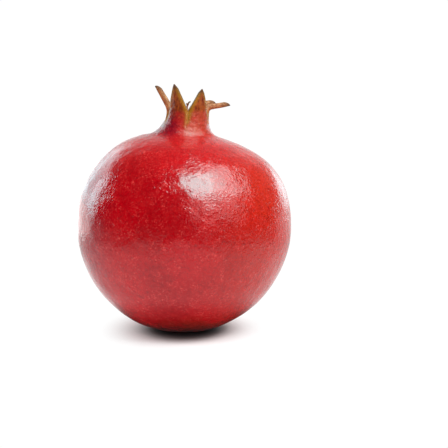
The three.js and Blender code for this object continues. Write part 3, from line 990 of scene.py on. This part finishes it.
def filament_material():
    recipe = Recipe("dry_filament")
    patches, grain = recipe.span(recipe.noise(1.2, 3), 0.35, 0.65), recipe.noise(0.3, 2)
    return recipe.finish_dry(patches, "filament", "filament_patch", 0.6, grain, 0.04)


def anther_material():
    recipe = Recipe("dry_anther")
    patches, grain = recipe.span(recipe.noise(0.8, 3), 0.35, 0.65), recipe.noise(0.25, 3)
    return recipe.finish_dry(patches, "anther", "anther_patch", 0.8, grain, 0.06)


def tissue_material():
    recipe = Recipe("dry_tissue")
    patches, grain = recipe.span(recipe.noise(1.6, 4), 0.35, 0.65), recipe.noise(0.5, 3)
    return recipe.finish_dry(patches, "tissue", "tissue_patch", 0.7, grain, 0.1)


def stalk_material():
    recipe = Recipe("stalk_wood")
    patches, grain = recipe.span(recipe.noise(0.9, 5, 0.65), 0.35, 0.68), recipe.noise(0.35, 4, 0.6)
    return recipe.finish_dry(patches, "wood", "wood_patch", 0.85, grain, 0.12)


# Pieces

def add_object(name, data):
    added = bpy.data.objects.new(name, data)
    bpy.context.scene.collection.objects.link(added)
    return added


def add_piece(mesh, materials, node):
    piece = add_object(mesh.name, mesh)
    for material in materials:
        mesh.materials.append(material)
    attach(piece, "root")
    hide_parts(node)
    return piece


def add_fruit():
    surface = rind_surface()
    shift = centring_shift(surface)
    rind = surface.mesh("rind", shift)
    soften_sepal_roots(rind)
    add_relief(rind)
    add_piece(rind, [rind_material()], "fruit")
    stamens = stamens_mesh(shift)
    dried = [filament_material(), anther_material(), tissue_material()]
    add_piece(stamens, dried, "stamen_tuft")
    stalk = stalk_surface().mesh("stalk_end", shift)
    add_piece(stalk, [stalk_material()], "stalk_scar")
    return shift


# Camera, light and floor

def add_camera(shift):
    camera_data = bpy.data.cameras.new("camera")
    camera_data.sensor_width = SENSOR_MM
    view_width = PHOTO_PX * MM_PER_PX * MM
    camera_data.lens = SENSOR_MM * CAMERA_DISTANCE / view_width
    camera_data.clip_start = 0.05
    camera_data.clip_end = 50
    camera = add_object("camera", camera_data)
    aim_x = (PHOTO_PX / 2 - AXIS_PX) * MM_PER_PX + shift[0]
    aim_z = (BASE_PX - PHOTO_PX / 2) * MM_PER_PX / math.cos(CAMERA_ELEVATION)
    target = Vector((aim_x, shift[1], aim_z)) * MM
    back = Vector((0, -math.cos(CAMERA_ELEVATION), math.sin(CAMERA_ELEVATION)))
    camera.location = target + back * CAMERA_DISTANCE
    camera.rotation_euler = back.to_track_quat("Z", "Y").to_euler()
    bpy.context.scene.camera = camera


# A rectangular softbox that faces the fruit from an azimuth and elevation. Its spread is the angle
# that its width and height fill, seen from the fruit. One that only gloss sees gives its
# reflection without lighting the skin.
def add_softbox(name, azimuth, elevation, spread, radiance, seen_by, tint=(1, 1, 1)):
    width, height = (2 * SOFTBOX_DISTANCE * math.tan(math.radians(side / 2)) for side in spread)
    light = bpy.data.lights.new(name, "AREA")
    light.shape = "RECTANGLE"
    light.size = width
    light.size_y = height
    light.energy = radiance * math.pi * width * height
    light.color = tint
    lamp = add_object(name, light)
    turn, rise = math.radians(azimuth), math.radians(elevation)
    level = math.cos(rise)
    direction = Vector((math.sin(turn) * level, -math.cos(turn) * level, math.sin(rise)))
    lamp.location = Vector((0, 0, WIDEST_Z * MM)) + direction * SOFTBOX_DISTANCE
    lamp.rotation_euler = direction.to_track_quat("Z", "Y").to_euler()
    lamp.visible_diffuse = seen_by == "diffuse"
    lamp.visible_glossy = seen_by == "gloss"


# Each one's azimuth, elevation, spread and radiance
def add_lights():
    add_softbox("key", 72, 62, (50, 50), 5.8, seen_by="diffuse")
    add_softbox("key_gloss", 60, 58, (60, 48), 4.6, tint=(0.6, 1, 1), seen_by="gloss")
    add_softbox("key_middle", 45, 61, (42, 40), 4.2, tint=(0.5, 1, 1), seen_by="gloss")
    add_softbox("key_core", 29, 62, (27, 32), 8, tint=(0.2, 1, 1), seen_by="gloss")
    add_softbox("key_skirt", 42, 30, (56, 44), 2.0, seen_by="gloss")
    add_softbox("left_band", -136, 15.5, (50, 30), 2.1, tint=(0.6, 0.94, 1), seen_by="gloss")
    add_softbox("left_edge", -118, 16.5, (18, 28), 4.8, tint=(0.6, 0.94, 1), seen_by="gloss")
    add_softbox("left_glow", -100, 45, (50, 50), 0.4, seen_by="diffuse")
    add_softbox("right_rim", 148, 2, (26, 24), 2.6, tint=(0.5, 0.95, 1), seen_by="gloss")
    add_softbox("low_fill", 8, 2, (60, 20), 0.95, seen_by="diffuse")
    add_softbox("front_fill", -20, 45, (60, 60), 0.8, seen_by="diffuse")


# White low behind the fruit and dark in front of it, where the camera stands. The camera itself
# sees white, and matt surfaces get an even light.
def set_world():
    world = bpy.data.worlds.new("studio")
    bpy.context.scene.world = world
    world.use_nodes = True
    sky = NodeTree(world.node_tree)
    split = sky.node("ShaderNodeSeparateXYZ")
    sky.feed(split.inputs[0], sky.node("ShaderNodeTexCoord").outputs["Generated"])
    behind = sky.maths("POWER", sky.maths("MAXIMUM", split.outputs["Y"], 0.0), SKY_FALLOFF)
    rays = sky.node("ShaderNodeLightPath").outputs
    level = sky.maths("MAXIMUM", behind, sky.times(rays["Is Diffuse Ray"], MATT_LIGHT))
    level = sky.maths("MAXIMUM", level, rays["Is Camera Ray"])
    sky.fill(sky.tree.nodes["Background"], {"Color": (1, 1, 1, 1), "Strength": level})


# The floor takes the fruit's shadow from the lights, and a painted shadow darkens its colour,
# darkest where they touch. Further out it glows white, so it ends nowhere. The painted shadow
# reaches further to the front and back than to the sides.
def floor_material():
    recipe = Recipe("floor")
    recipe.fill(recipe.shader, {"Roughness": 0.9, "Specular IOR Level": 0.1})
    reach = recipe.node("ShaderNodeVectorMath", operation="LENGTH")
    recipe.feed(reach.inputs[0], recipe.stretch(*SHADOW_STRETCH))
    distance = reach.outputs["Value"]
    # Painted shadow: the floor's colour gets darker towards the fruit
    pale = recipe.mix(recipe.span(distance, *SHADOW_DARK), shade("floor_shadow"), shade("floor"))
    recipe.fill(recipe.shader, {"Base Color": pale})
    bounce = recipe.node("ShaderNodeLightPath").outputs["Is Diffuse Ray"]
    glow = recipe.emission(recipe.span(bounce, 0, 1, 1.02, 1.45))
    blend = recipe.node("ShaderNodeMixShader")
    # The white glow fades out towards the fruit, round the painted shadow
    recipe.feed(blend.inputs["Fac"], recipe.span(distance, *SHADOW_FADE))
    recipe.feed(blend.inputs[1], recipe.shader.outputs["BSDF"])
    recipe.feed(blend.inputs[2], glow)
    return recipe.finish(blend.outputs["Shader"])


def add_floor():
    corners = 96
    turns = [FULL_TURN * i / corners for i in range(corners)]
    points = [(FLOOR_RADIUS * math.cos(turn), FLOOR_RADIUS * math.sin(turn), 0) for turn in turns]
    mesh = bpy.data.meshes.new("floor")
    mesh.from_pydata(points, [], [list(range(corners))])
    floor = add_object("floor", mesh)
    mesh.materials.append(floor_material())


# The floor as the skin's gloss mirrors it: in the fruit's own shade next to it, white around
# that, and dark in front from where the white surface ends. Towards the left and the back it gets
# white again. Only gloss sees it. The levels belong to the radii, in metres: the first seven are
# the same all round, and the last three go by the turn, in degrees.
def add_mirrored_floor():
    radii = [0.0, 0.026, 0.034, 0.043, 0.08, 0.13, 0.2, 0.3, 0.6, 7.9]
    shaded = [0.02, 0.03, 0.3, 1.0, 1.2, 1.1, 0.75]
    turns = [-180, -116, -108, -100, -82, -66, 0, 112, 114, 180]
    near = [2.3, 2.3, 1.2, 0.75, 0.35, 0.2, 0.05, 0.0, 1.0, 1.0]
    far = [2.3, 2.3, 0.9, 0.35, 0.1, 0.05, 0.0, 0.0, 1.0, 1.0]
    columns = 180
    points, levels, faces = [], [], []
    for column in range(columns + 1):
        turn = lerp(-math.pi, math.pi, column / columns)
        outside = [float(np.interp(math.degrees(turn), turns, row)) for row in (near, far, far)]
        for radius, level in zip(radii, shaded + outside):
            x, y = radius * math.sin(turn), -radius * math.cos(turn)
            points.append((x, y, MIRRORED_FLOOR_HEIGHT))
            levels.append(level)
    rows = len(radii)
    for column in range(columns):
        for row in range(rows - 1):
            low = column * rows + row
            faces.append([low, low + 1, low + rows + 1, low + rows])
    mesh = bpy.data.meshes.new("mirrored_floor")
    mesh.from_pydata(points, [], faces)
    mesh.attributes.new("level", "FLOAT", "POINT").data.foreach_set("value", levels)
    card = add_object("mirrored_floor", mesh)
    recipe = Recipe("mirrored_floor")
    mesh.materials.append(recipe.finish(recipe.emission(recipe.mark("level"))))
    card.visible_camera = False
    card.visible_diffuse = False
    card.visible_shadow = False


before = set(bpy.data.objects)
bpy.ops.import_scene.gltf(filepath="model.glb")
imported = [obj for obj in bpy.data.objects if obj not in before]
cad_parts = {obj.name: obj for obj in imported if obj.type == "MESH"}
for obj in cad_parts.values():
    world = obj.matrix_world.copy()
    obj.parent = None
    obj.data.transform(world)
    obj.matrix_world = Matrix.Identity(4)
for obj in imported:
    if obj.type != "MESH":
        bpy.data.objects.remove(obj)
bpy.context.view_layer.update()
centre_shift = add_fruit()
add_camera(centre_shift)
set_world()
add_lights()
add_floor()
add_mirrored_floor()
bpy.context.scene.view_settings.view_transform = "Standard"
